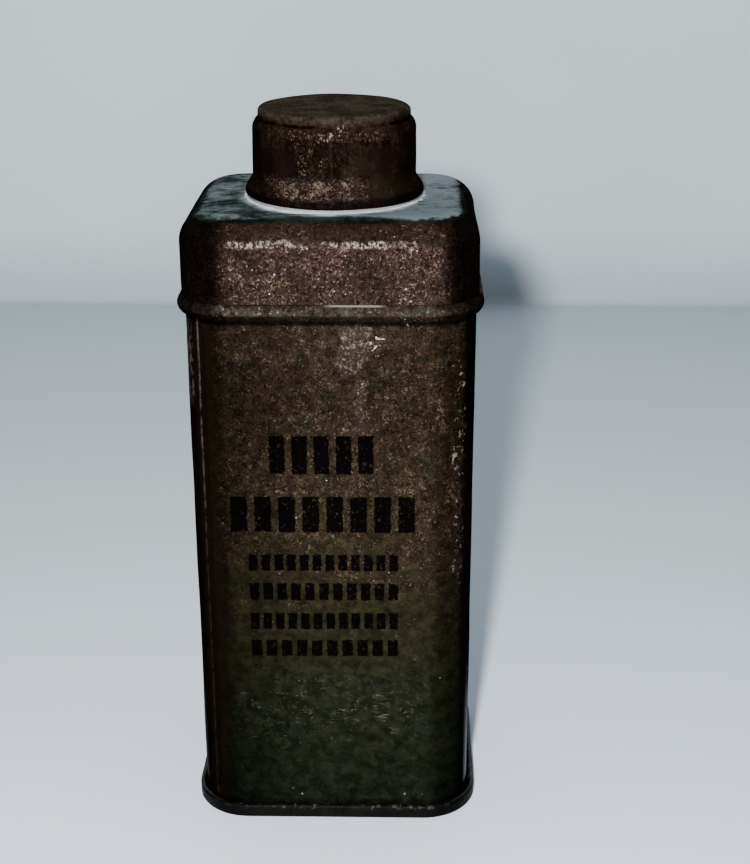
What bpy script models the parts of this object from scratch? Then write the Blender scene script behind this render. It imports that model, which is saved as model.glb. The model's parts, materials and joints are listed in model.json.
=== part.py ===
"""Sifter-top powder tin in tinplate.

A sheet is wrapped into an oblong body with a lapped, soldered side seam and a rolled stop bead. The
base end is double seamed to the body. A drawn breast is pressed over the body down to the bead, and
carries the neck. A perforated sifter plate sits inside the neck, and a slip cap with a liner pulls
straight up off it.

Metres, +Z up. The origin is the middle of the footprint, and the front panel faces -Y.
"""

import math

import bmesh
import bpy
from mathutils import Matrix, Vector

MM = 0.001

# Sheet metal and fits
SHEET = 0.25 * MM
SEAM_GAP = 0.15 * MM
SLIP_GAP = 0.2 * MM

# Body
BODY_WIDTH = 44.5 * MM
BODY_DEPTH = 38.0 * MM
BODY_CORNER = 7.6 * MM
BODY_TOP = 93.0 * MM
BEAD_HEIGHT = 87.6 * MM
BEAD_HALF = 1.3 * MM
BEAD_PROUD = 1.2 * MM

# Side seam: the end of the sheet that comes round the left side lies over a tongue from the front
SIDE_SEAM_ANGLE = 228.0
SIDE_SEAM_SLIT = 0.3 * MM
TONGUE_REACH = 4.6 * MM
TONGUE_LOW = 3.4 * MM
TONGUE_HIGH = 85.6 * MM
JOGGLE_LENGTH = 1.3 * MM
SOLDER_WIDTH = 0.9 * MM
SOLDER_THICK = 0.35 * MM

# Base end and its double seam
SEAM_HEIGHT = 2.4 * MM
SEAM_BEND = 0.4 * MM
BODY_HOOK_TOP = 1.7 * MM
COVER_HOOK_LOW = 1.1 * MM
BASE_PANEL = 2.9 * MM

# Breast
BREAST_LOW = 89.1 * MM
BREAST_TOP = 101.6 * MM
BREAST_BEND = 4.7 * MM

# Neck and sifter
NECK_RADIUS = 12.2 * MM
NECK_TOP = 113.3 * MM
NECK_BEND = 2.0 * MM
NECK_MOUTH = 9.2 * MM
NECK_FLANGE = 14.6 * MM
NECK_FLANGE_BEND = 0.5 * MM
SIFTER_RIM_LOW = 109.0 * MM
SIFTER_HOLE = 2.2 * MM
SIFTER_RINGS = ((4, 3.2 * MM, 45.0), (8, 6.9 * MM, 22.5))

# Cap
CAP_RADIUS = 12.66 * MM
CAP_TOP = 115.0 * MM
CAP_DISC_RADIUS = 11.78 * MM
CAP_DISC_BEND = 0.7 * MM
CAP_STEP_HIGH = 113.4 * MM
CAP_STEP_LOW = 111.8 * MM
CAP_FLARE_START = 104.3 * MM
CAP_MOUTH_RADIUS = 13.86 * MM
CAP_CURL = 0.35 * MM
LINER_THICK = 1.15 * MM

CORNER_STEPS = 6
BEND_STEPS = 4
TURN_STEPS = 36


def clear_scene():
    for old in list(bpy.data.objects):
        bpy.data.objects.remove(old)


def metal(name, colour, roughness, metallic):
    made = bpy.data.materials.new(name)
    made.use_nodes = True
    shader = made.node_tree.nodes["Principled BSDF"]
    shader.inputs["Base Color"].default_value = (*colour, 1.0)
    shader.inputs["Roughness"].default_value = roughness
    shader.inputs["Metallic"].default_value = metallic
    made.diffuse_color = (*colour, 1.0)
    return made


def add_solid(name, bm, material, parent):
    """Makes the object of a mesh drawn in world places. Its origin is its parent's place."""
    bmesh.ops.recalc_face_normals(bm, faces=bm.faces)
    mesh = bpy.data.meshes.new(name)
    bm.to_mesh(mesh)
    bm.free()
    mesh.transform(Matrix.Translation(-parent.location))
    mesh.shade_smooth()
    mesh.set_sharp_from_angle(angle=math.radians(40.0))
    mesh.materials.append(material)
    made = bpy.data.objects.new(name, mesh)
    made.parent = parent
    bpy.context.scene.collection.objects.link(made)
    return made


def add_empty(name, location):
    made = bpy.data.objects.new(name, None)
    made.location = location
    bpy.context.scene.collection.objects.link(made)
    return made


def arc(centre, radius, start, end, steps=BEND_STEPS):
    """Points (offset, height) along an arc. Angles are in degrees, from the outward direction."""
    angles = [math.radians(start + (end - start) * i / steps) for i in range(steps + 1)]
    return [
        (centre[0] + radius * math.cos(angle), centre[1] + radius * math.sin(angle))
        for angle in angles
    ]


def side_of(line, distance):
    """The line moved to its left by distance, with its corners mitred."""
    points = [Vector(point) for point in line]
    ways = [(after - before).normalized() for before, after in zip(points, points[1:])]
    moved = []
    for i, point in enumerate(points):
        before, after = ways[max(i - 1, 0)], ways[min(i, len(ways) - 1)]
        normal = Vector((-before.y - after.y, before.x + after.x)).normalized()
        stretch = normal.dot(Vector((-before.y, before.x)))
        moved.append(tuple(point + normal * distance / stretch))
    return moved


def sheet_outline(line, thickness=SHEET):
    """The outline of a sheet that runs along the line: one face out, the other face back."""
    return side_of(line, thickness / 2) + side_of(line, -thickness / 2)[::-1]


# Oblong pieces: every outline point is an offset from the body's outer wall, and a height


def corner_centre(angle):
    """The centre of the corner that faces this way, in degrees from +X."""
    quarter = int(angle // 90) % 4
    side_x = 1 if quarter in (0, 3) else -1
    side_y = 1 if quarter in (0, 1) else -1
    return (
        side_x * (BODY_WIDTH / 2 - BODY_CORNER),
        side_y * (BODY_DEPTH / 2 - BODY_CORNER),
    )


def wall_place(centre, angle, offset, height):
    reach = BODY_CORNER + offset
    turn = math.radians(angle)
    return Vector(
        (
            centre[0] + reach * math.cos(turn),
            centre[1] + reach * math.sin(turn),
            height,
        )
    )


def oblong_stations():
    """(corner centre, angle) of each station round the tin, anticlockwise from +X."""
    found = []
    for quarter in range(4):
        centre = corner_centre(90 * quarter + 45)
        found += [
            (centre, 90.0 * (quarter + step / CORNER_STEPS))
            for step in range(CORNER_STEPS + 1)
        ]
    return found


def add_loop(bm, places):
    return [bm.verts.new(place) for place in places]


def bridge(bm, first, second):
    """Joins two loops of as many points with a strip of faces."""
    for i in range(len(first)):
        bm.faces.new((first[i - 1], first[i], second[i], second[i - 1]))


def fill(bm, loop):
    """Fills a flat loop with triangles that meet at its middle."""
    bmesh.ops.poke(bm, faces=[bm.faces.new(loop)])


def fill_between(bm, outer, inner):
    """Fills a flat ring between two loops."""
    pairs = [(loop[i - 1], loop[i]) for loop in (outer, inner) for i in range(len(loop))]
    edges = [bm.edges.get(pair) or bm.edges.new(pair) for pair in pairs]
    bmesh.ops.triangle_fill(bm, use_beauty=True, edges=edges)


def oblong_loops(bm, outline):
    return [
        add_loop(bm, [wall_place(*station, *point) for station in oblong_stations()])
        for point in outline
    ]


def oblong_solid(outline, closed):
    """Sweeps the outline round the tin. An open outline's first and last loops are filled."""
    bm = bmesh.new()
    loops = oblong_loops(bm, outline)
    for first, second in zip(loops, loops[1:]):
        bridge(bm, first, second)
    if closed:
        bridge(bm, loops[-1], loops[0])
    else:
        fill(bm, loops[0])
        fill(bm, loops[-1])
    return bm


def turned_solid(outline):
    """Turns the outline (radius, height) about the tin's axis. It is a ring or ends on the axis."""
    bm = bmesh.new()
    verts = [bm.verts.new((radius, 0.0, height)) for radius, height in outline]
    pairs = list(zip(verts, verts[1:]))
    if outline[0][0] > 0:
        pairs.append((verts[-1], verts[0]))
    for pair in pairs:
        bm.edges.new(pair)
    bmesh.ops.spin(
        bm,
        geom=bm.verts[:] + bm.edges[:],
        axis=(0, 0, 1),
        cent=(0, 0, 0),
        steps=TURN_STEPS,
        angle=math.tau,
        use_merge=True,
    )
    bmesh.ops.remove_doubles(bm, verts=bm.verts, dist=0.001 * MM)
    return bm


# Body


def bead_line(offset):
    """The stop bead's centre line, from its upper foot to its lower one."""
    steps = 2 * BEND_STEPS
    turns = [math.pi * i / steps for i in range(1, steps)]
    return [
        (
            offset + BEAD_PROUD * math.sin(turn) ** 1.3,
            BEAD_HEIGHT + BEAD_HALF * math.cos(turn),
        )
        for turn in turns
    ]


def body_line():
    """The wall's centre line, from its top edge down to the end of the hook in the seam."""
    wall = -SHEET / 2
    hook_bend = (wall + SEAM_BEND, BASE_END_BOTTOM + SEAM_GAP + SHEET / 2 + SEAM_BEND)
    return [
        (wall, BODY_TOP),
        (wall, BEAD_HEIGHT + BEAD_HALF),
        *bead_line(wall),
        (wall, BEAD_HEIGHT - BEAD_HALF),
        (wall, TONGUE_HIGH),
        (wall, TONGUE_HIGH - JOGGLE_LENGTH),
        (wall, TONGUE_LOW + JOGGLE_LENGTH),
        (wall, TONGUE_LOW),
        *arc(hook_bend, SEAM_BEND, 180, 360),
        (wall + 2 * SEAM_BEND, BODY_HOOK_TOP),
    ]


def arc_degrees(length):
    """The turn round a body corner that is this long on the outer wall."""
    return math.degrees(length / BODY_CORNER)


def body_columns():
    """(corner centre, angle, depth of the joggle from 0 to 1) of each column of the wrapped sheet.

    The first columns are the tongue, which lies under the last ones."""
    slit = arc_degrees(SIDE_SEAM_SLIT) / 2
    centre = corner_centre(SIDE_SEAM_ANGLE)
    tongue_end = SIDE_SEAM_ANGLE - arc_degrees(TONGUE_REACH)
    joggle_end = SIDE_SEAM_ANGLE + arc_degrees(JOGGLE_LENGTH)
    tongue_steps = 3
    columns = [
        (centre, tongue_end + (SIDE_SEAM_ANGLE - tongue_end) * i / tongue_steps, 1.0)
        for i in range(tongue_steps)
    ]
    columns.append((centre, SIDE_SEAM_ANGLE + slit, 1.0))
    columns.append((centre, (SIDE_SEAM_ANGLE + slit + joggle_end) / 2, 0.5))
    columns.append((centre, joggle_end, 0.0))
    stations = [(where, angle) for where, angle in oblong_stations()]
    after = [s for s in stations if joggle_end + 1 < s[1] and s[0] == centre]
    before = [s for s in stations if s[1] < SIDE_SEAM_ANGLE - 1 and s[0] == centre]
    others = [s for s in stations if s[0] != centre]
    front_right = [s for s in others if s[1] >= 270]
    rest = [s for s in others if s[1] < 270]
    for where, angle in after + front_right + rest + before:
        columns.append((where, angle, 0.0))
    columns.append((centre, SIDE_SEAM_ANGLE - slit, 0.0))
    return columns


def body_sleeve():
    """The wrapped sheet, as a grid of cells between its two faces, with the tongue's cells only
    between its notched ends."""
    line = body_line()
    faces = (side_of(line, SHEET / 2), side_of(line, -SHEET / 2))
    columns = body_columns()
    first_wall_column = next(i for i, c in enumerate(columns) if c[1] > SIDE_SEAM_ANGLE)
    bm = bmesh.new()

    def joggled(height):
        return TONGUE_LOW < height < TONGUE_HIGH

    def present(row, column):
        in_tongue = column < first_wall_column
        return not in_tongue or (
            joggled(line[row][1]) and joggled(line[row + 1][1])
        )

    grid = {}
    for side, points in enumerate(faces):
        for row, (offset, height) in enumerate(points):
            for column, (centre, angle, depth) in enumerate(columns):
                drop = (SHEET + SEAM_GAP) * depth if joggled(line[row][1]) else 0.0
                place = wall_place(centre, angle, offset - drop, height)
                grid[side, row, column] = bm.verts.new(place)

    def corners(side, row, column):
        steps = ((0, 0), (0, 1), (1, 1), (1, 0))
        return [grid[side, row + down, column + along] for down, along in steps]

    cells = [
        (row, column)
        for row in range(len(line) - 1)
        for column in range(len(columns) - 1)
        if present(row, column)
    ]
    edge_use = {}
    for row, column in cells:
        for side in (0, 1):
            bm.faces.new(corners(side, row, column))
        pairs = [(0, 0, 0, 1), (0, 1, 1, 1), (1, 1, 1, 0), (1, 0, 0, 0)]
        for down_a, along_a, down_b, along_b in pairs:
            ends = ((row + down_a, column + along_a), (row + down_b, column + along_b))
            edge_use.setdefault(frozenset(ends), []).append(ends)
    for used in edge_use.values():
        if len(used) == 1:
            (a, b) = used[0]
            bm.faces.new([grid[0, *a], grid[0, *b], grid[1, *b], grid[1, *a]])
    loose = [vert for vert in bm.verts if not vert.link_faces]
    bmesh.ops.delete(bm, geom=loose, context="VERTS")
    return bm


def side_seam_solder():
    """The fillet of solder along the tongue's free edge, inside the tin."""
    bm = bmesh.new()
    centre = corner_centre(SIDE_SEAM_ANGLE)
    edge = SIDE_SEAM_ANGLE - arc_degrees(TONGUE_REACH) - arc_degrees(2 * SEAM_GAP)
    wall = -SHEET - SEAM_GAP
    section = (
        (edge, wall),
        (edge, wall - SOLDER_THICK),
        (edge - arc_degrees(SOLDER_WIDTH / 2), wall - SOLDER_THICK / 2),
        (edge - arc_degrees(SOLDER_WIDTH), wall),
    )
    ends = [
        add_loop(bm, [wall_place(centre, angle, offset, height) for angle, offset in section])
        for height in (TONGUE_LOW + JOGGLE_LENGTH, TONGUE_HIGH - JOGGLE_LENGTH)
    ]
    bridge(bm, *ends)
    for loop in ends:
        bm.faces.new(loop)
    return bm


# Base end

BASE_END_BOTTOM = SHEET
COVER_WALL = -SHEET - SEAM_GAP - SHEET / 2
SEAMING_WALL = 3 * (SEAM_GAP + SHEET) - SHEET / 2


def base_end():
    """The drawn base: a panel raised off the table, a chuck wall, and the seam round the body's hook."""
    middle = SHEET / 2
    inner = (COVER_WALL + SEAM_BEND, middle + SEAM_BEND)
    outer = (SEAMING_WALL - SEAM_BEND, middle + SEAM_BEND)
    over = (SEAMING_WALL - SEAM_BEND, SEAM_HEIGHT - middle - SEAM_BEND)
    shoulder = (COVER_WALL - SEAM_BEND, BASE_PANEL - SEAM_BEND)
    line = [
        (COVER_WALL - 5 * SEAM_BEND, BASE_PANEL),
        *arc(shoulder, SEAM_BEND, 90, 0),
        *arc(inner, SEAM_BEND, 180, 270),
        *arc(outer, SEAM_BEND, 270, 360),
        *arc(over, SEAM_BEND, 0, 180),
        (SEAMING_WALL - 2 * SEAM_BEND, COVER_HOOK_LOW),
    ]
    return oblong_solid(sheet_outline(line), closed=False)


def base_seam_sealant():
    """The sealing compound in the hollow of the cover hook, over the end of the body's hook."""
    middle = SEAMING_WALL - SEAM_BEND
    low = BODY_HOOK_TOP + 0.1 * MM
    high = low + 0.2 * MM
    half = SHEET / 2
    outline = [
        (middle - half, low),
        (middle + half, low),
        (middle + half, high),
        (middle - half, high),
    ]
    return oblong_solid(outline, closed=True)


# Breast


def hole_places(radius, height):
    turns = [math.tau * i / TURN_STEPS for i in range(TURN_STEPS)]
    return [(radius * math.cos(turn), radius * math.sin(turn), height) for turn in turns]


def breast():
    """The drawn top: a skirt over the body, a round shoulder, and a flat with a hole for the neck."""
    skirt = SLIP_GAP + SHEET / 2
    bend = BREAST_BEND - SHEET / 2
    line = [
        (skirt, BREAST_LOW),
        *arc((skirt - bend, BREAST_TOP - BREAST_BEND), bend, 0, 90, 2 * BEND_STEPS),
    ]
    bm = bmesh.new()
    loops = oblong_loops(bm, sheet_outline(line))
    inside, outside = loops[: len(line)], loops[len(line) :]
    for first, second in zip(inside, inside[1:]):
        bridge(bm, first, second)
    for first, second in zip(outside, outside[1:]):
        bridge(bm, first, second)
    bridge(bm, outside[-1], inside[0])
    rims = []
    for loop in (inside[-1], outside[0]):
        rims.append(add_loop(bm, hole_places(NECK_RADIUS + SEAM_GAP, loop[0].co.z)))
        fill_between(bm, loop, rims[-1])
    bridge(bm, *rims)
    return bm


# Neck, sifter and cap


def neck():
    """A drawn collar: flange under the breast, wall up through it, and its top turned in."""
    middle = SHEET / 2
    wall = NECK_RADIUS - middle
    flange = BREAST_TOP - SHEET - SEAM_GAP - middle
    foot = (wall + NECK_FLANGE_BEND, flange + NECK_FLANGE_BEND)
    bend = NECK_BEND - middle
    line = [
        (NECK_FLANGE, flange),
        *arc(foot, NECK_FLANGE_BEND, 270, 180),
        *arc((wall - bend, NECK_TOP - NECK_BEND), bend, 0, 90, BEND_STEPS + 1),
        (NECK_MOUTH, NECK_TOP - middle),
    ]
    return turned_solid(sheet_outline(line))


def neck_solder():
    """The ring of solder in the corner between the neck's flange and the underside of the breast."""
    low = BREAST_TOP - 2 * SHEET - SEAM_GAP
    high = BREAST_TOP - SHEET - 0.1 * MM
    inner = NECK_FLANGE + 0.1 * MM
    return turned_solid([(inner, low), (inner + SOLDER_WIDTH, high), (inner, high)])


def sifter_plate():
    """A shallow cup pushed up inside the neck, before its holes are cut."""
    bend = NECK_BEND - SHEET - SLIP_GAP - SHEET / 2
    centre = (NECK_RADIUS - NECK_BEND, NECK_TOP - NECK_BEND)
    line = [
        (centre[0] + bend, SIFTER_RIM_LOW),
        *arc(centre, bend, 0, 90),
        (0.0, centre[1] + bend),
    ]
    skin = sheet_outline(line)
    start = len(line)
    return turned_solid([(max(r, 0.0), z) for r, z in skin[start:] + skin[:start]])


def sifter_cutter():
    """One cylinder for each sifter hole, long enough to pass through the plate."""
    bm = bmesh.new()
    for count, ring_radius, first_angle in SIFTER_RINGS:
        for i in range(count):
            turn = math.radians(first_angle + 360.0 * i / count)
            place = (ring_radius * math.cos(turn), ring_radius * math.sin(turn), NECK_TOP)
            bmesh.ops.create_cone(
                bm,
                cap_ends=True,
                segments=12,
                radius1=SIFTER_HOLE / 2,
                radius2=SIFTER_HOLE / 2,
                depth=4 * MM,
                matrix=Matrix.Translation(place),
            )
    return bm


def cut_holes(target, cutter):
    cutter.hide_render = True
    cutter.display_type = "WIRE"
    cut = target.modifiers.new("sifter_holes", "BOOLEAN")
    cut.operation = "DIFFERENCE"
    cut.object = cutter


def cap_shell():
    """A drawn cap: raised disc, sloping step, straight wall, and a flared mouth curled inwards."""
    middle = SHEET / 2
    wall = CAP_RADIUS - middle
    disc = CAP_DISC_RADIUS - middle
    mouth = CAP_MOUTH_RADIUS - middle
    disc_bend = CAP_DISC_BEND - middle
    flare = mouth - wall
    curl = CAP_CURL - middle
    mouth_low = BREAST_TOP + SEAM_GAP
    line = [
        (0.0, CAP_TOP - middle),
        *arc((disc - disc_bend, CAP_TOP - CAP_DISC_BEND), disc_bend, 90, 0, 3),
        (disc, CAP_STEP_HIGH),
        (disc + 0.75 * (wall - disc), (CAP_STEP_HIGH + CAP_STEP_LOW) / 2),
        (wall, CAP_STEP_LOW),
        (wall, CAP_FLARE_START),
        (wall + 0.2 * flare, CAP_FLARE_START - 0.7 * flare),
        (wall + 0.75 * flare, CAP_FLARE_START - 1.35 * flare),
        (mouth, CAP_FLARE_START - 1.75 * flare),
        *arc((mouth - curl, mouth_low + CAP_CURL), curl, 0, -180),
    ]
    return turned_solid([(max(r, 0.0), z) for r, z in sheet_outline(line)])


def cap_liner():
    """A pulpboard disc held in the cap's raised top."""
    top = CAP_TOP - SHEET - SEAM_GAP
    radius = CAP_DISC_RADIUS - SHEET - SLIP_GAP
    return turned_solid(
        [(0.0, top), (radius, top), (radius, top - LINER_THICK), (0.0, top - LINER_THICK)]
    )


def main():
    clear_scene()
    green = metal("olive_paint", (0.045, 0.050, 0.024), 0.5, 0.3)
    rust = metal("rusted_paint", (0.075, 0.040, 0.028), 0.65, 0.4)
    tin = metal("bare_tinplate", (0.42, 0.41, 0.38), 0.35, 0.9)
    solder = metal("solder", (0.35, 0.35, 0.36), 0.4, 0.9)
    compound = metal("seam_compound", (0.03, 0.03, 0.03), 0.8, 0.0)
    pulp = metal("pulpboard", (0.42, 0.34, 0.22), 0.9, 0.0)

    tin_axis = add_empty("tin", (0.0, 0.0, 0.0))
    cap_axis = add_empty("cap", (0.0, 0.0, BREAST_TOP))
    cap_axis.parent = tin_axis

    add_solid("body_sleeve", body_sleeve(), green, tin_axis)
    add_solid("side_seam_solder", side_seam_solder(), solder, tin_axis)
    add_solid("base_end", base_end(), green, tin_axis)
    add_solid("base_seam_sealant", base_seam_sealant(), compound, tin_axis)
    add_solid("breast", breast(), rust, tin_axis)
    add_solid("neck", neck(), tin, tin_axis)
    add_solid("neck_solder", neck_solder(), solder, tin_axis)
    plate = add_solid("sifter_plate", sifter_plate(), tin, tin_axis)
    cutter = add_solid("sifter_cutter", sifter_cutter(), tin, tin_axis)
    cut_holes(plate, cutter)
    add_solid("cap_shell", cap_shell(), rust, cap_axis)
    add_solid("cap_liner", cap_liner(), pulp, cap_axis)


main()
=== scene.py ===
import json
import math

import bmesh
import bpy
from mathutils import Matrix, Vector, noise

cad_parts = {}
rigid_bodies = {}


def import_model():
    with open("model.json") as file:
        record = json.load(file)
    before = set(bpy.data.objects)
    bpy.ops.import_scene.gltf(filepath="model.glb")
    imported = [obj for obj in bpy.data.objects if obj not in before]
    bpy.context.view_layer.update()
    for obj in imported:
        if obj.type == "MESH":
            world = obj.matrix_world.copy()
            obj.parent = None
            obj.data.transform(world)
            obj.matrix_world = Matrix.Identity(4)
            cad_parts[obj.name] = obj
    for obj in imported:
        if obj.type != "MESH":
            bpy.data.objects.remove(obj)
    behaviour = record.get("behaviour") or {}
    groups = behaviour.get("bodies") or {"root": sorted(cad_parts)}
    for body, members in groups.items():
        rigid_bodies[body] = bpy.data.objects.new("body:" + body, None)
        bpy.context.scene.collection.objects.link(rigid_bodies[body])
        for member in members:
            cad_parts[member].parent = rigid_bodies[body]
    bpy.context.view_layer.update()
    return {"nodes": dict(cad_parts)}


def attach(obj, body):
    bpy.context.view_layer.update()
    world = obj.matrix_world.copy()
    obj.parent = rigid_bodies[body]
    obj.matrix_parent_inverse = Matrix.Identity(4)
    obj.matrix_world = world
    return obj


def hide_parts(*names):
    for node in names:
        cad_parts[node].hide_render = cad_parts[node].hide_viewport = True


MM = 0.001
SHARP_ANGLE = 35.0

# Sizes that the CAD part has too, in millimetres
HALF_WIDTH = 22.25
HALF_DEPTH = 19.0
CORNER = 7.6
SHEET = 0.25
GAP = 0.15
BEAD_MIDDLE = 87.6
SEAM_TURN = 228.0
PLATE = 101.6
MOUTH_RADIUS = 13.86
HOLE_IN_BREAST = 12.35
LIP_RADIUS = 1.25
SKIRT_FOOT = 89.1
CAP_TOP = 115.0

# The real neck is soldered in a little to the right, and the cap rests on spilt powder
NECK_SHIFT = 0.35
CAP_RISE = 0.25


# Geometry. Every outline point is (offset or radius, height) in millimetres


def stations():
    """(corner centre, outward angle) round the tin from +X, with extra ones along the flats."""
    corner_steps, flat_step = 14, 1.3
    found = []
    for quarter in range(4):
        side_x = 1 if quarter in (0, 3) else -1
        side_y = 1 if quarter in (0, 1) else -1
        centre = Vector((side_x * (HALF_WIDTH - CORNER), side_y * (HALF_DEPTH - CORNER)))
        found += [
            (centre, 90.0 * (quarter + i / corner_steps)) for i in range(corner_steps + 1)
        ]
        along_x = quarter % 2 == 0
        length = 2 * ((HALF_WIDTH if along_x else HALF_DEPTH) - CORNER)
        way = Vector((-side_x, 0)) if along_x else Vector((0, -side_y))
        steps = round(length / flat_step)
        found += [
            (centre + way * length * i / steps, 90.0 * (quarter + 1)) for i in range(1, steps)
        ]
    return found


def wall_point(station, offset, height):
    centre, angle = station
    turn = math.radians(angle)
    reach = CORNER + offset
    return Vector(
        (centre.x + reach * math.cos(turn), centre.y + reach * math.sin(turn), height)
    )


def outward(turn):
    return Vector((math.cos(turn), math.sin(turn), 0))


def bump(place, middle, size):
    """A smooth bump of height 1 and these half-sizes."""
    far = sum(((p - m) / s) ** 2 for p, m, s in zip(place, middle, size))
    return math.exp(-far)


def dents(place):
    """How far the tin's walls stand out of true here, in millimetres."""
    out = 0.1 * noise.noise(place * 0.055) + 0.035 * noise.noise(place * 0.21)
    out -= 0.3 * bump(place, (22, 2, 95), (6, 9, 4))
    out -= 0.22 * bump(place, (8, -19, 30), (12, 5, 10))
    out -= 0.18 * bump(place, (-11, 19, 60), (11, 5, 16))
    out -= 0.25 * bump(place, (-22, 3, 38), (5, 9, 13))
    return out


def arc(middle, radius, start, end, steps):
    turns = [math.radians(start + (end - start) * i / steps) for i in range(steps + 1)]
    return [
        (middle[0] + radius * math.cos(t), middle[1] + radius * math.sin(t)) for t in turns
    ]


def run(start, end, step):
    """Points from start up to, but not with, the end."""
    count = max(1, round(math.dist(start, end) / step))
    return [tuple(a + (b - a) * i / count for a, b in zip(start, end)) for i in range(count)]


def side_of(line, distance):
    points = [Vector(point) for point in line]
    ways = [(after - before).normalized() for before, after in zip(points, points[1:])]
    moved = []
    for i, point in enumerate(points):
        before, after = ways[max(i - 1, 0)], ways[min(i, len(ways) - 1)]
        normal = Vector((-before.y - after.y, before.x + after.x)).normalized()
        stretch = max(normal.dot(Vector((-before.y, before.x))), 0.3)
        moved.append(tuple(point + normal * distance / stretch))
    return moved


def sheet_outline(line, thickness=SHEET):
    return side_of(line, thickness / 2) + side_of(line, -thickness / 2)[::-1]


def put(name, data):
    made = bpy.data.objects.new(name, data)
    bpy.context.scene.collection.objects.link(made)
    return made


def put_mesh(name, bm, material):
    mesh = bpy.data.meshes.new(name)
    bm.to_mesh(mesh)
    bm.free()
    mesh.shade_smooth()
    mesh.materials.append(material)
    return put(name, mesh)


def piece(name, bm, material, body, node):
    """Makes the piece from a mesh in millimetres, in place of the CAD node."""
    bmesh.ops.remove_doubles(bm, verts=bm.verts, dist=0.0004)
    bmesh.ops.recalc_face_normals(bm, faces=bm.faces)
    bm.transform(Matrix.Scale(MM, 4))
    made = put_mesh(name, bm, material)
    made.data.set_sharp_from_angle(angle=math.radians(SHARP_ANGLE))
    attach(made, body)
    if node:
        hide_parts(node)
    return made


def add_loop(bm, places):
    return [bm.verts.new(place) for place in places]


def bridge(bm, first, second):
    for i in range(len(first)):
        bm.faces.new((first[i - 1], first[i], second[i], second[i - 1]))


def bridge_all(bm, loops):
    for first, second in zip(loops, loops[1:]):
        bridge(bm, first, second)


def close_ends(bm, loops):
    for loop in (loops[0], loops[-1]):
        bmesh.ops.poke(bm, faces=[bm.faces.new(loop)])


def bridge_sheet(bm, loops, half):
    """Bridges both faces of a sheet, half the loops each, and the edge where they begin."""
    bridge_all(bm, loops[:half])
    bridge_all(bm, loops[half:])
    bridge(bm, loops[-1], loops[0])


def circle(radius, height, steps, middle=(0.0, 0.0)):
    turns = [math.tau * i / steps for i in range(steps)]
    return [
        Vector((middle[0] + radius * math.cos(t), middle[1] + radius * math.sin(t), height))
        for t in turns
    ]


def move_to_neck(bm, rise=0.0):
    bmesh.ops.translate(bm, verts=bm.verts, vec=(NECK_SHIFT, 0, rise))


def swept_loop(bm, point, round_tin, bent=True):
    """A loop round the tin. Its points follow the dents along the wall's own normal."""
    places = []
    for station in round_tin:
        place = wall_point(station, *point)
        if bent:
            place += outward(math.radians(station[1])) * dents(place)
        places.append(place)
    return add_loop(bm, places)


def turned(bm, outline, steps, wobble=0.0):
    """Turns the outline (radius, height) about the axis, with the radius out of true by wobble."""
    loops = []
    for radius, height in outline:
        rise = Vector((0, 0, height))
        places = []
        for i in range(steps):
            way = outward(math.tau * i / steps)
            off = wobble * noise.noise((way * radius + rise) * 0.16) * min(1, radius / 6)
            places.append(way * (radius + off) + rise)
        loops.append(add_loop(bm, places))
    bridge_all(bm, loops)
    return loops


# Materials


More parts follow.
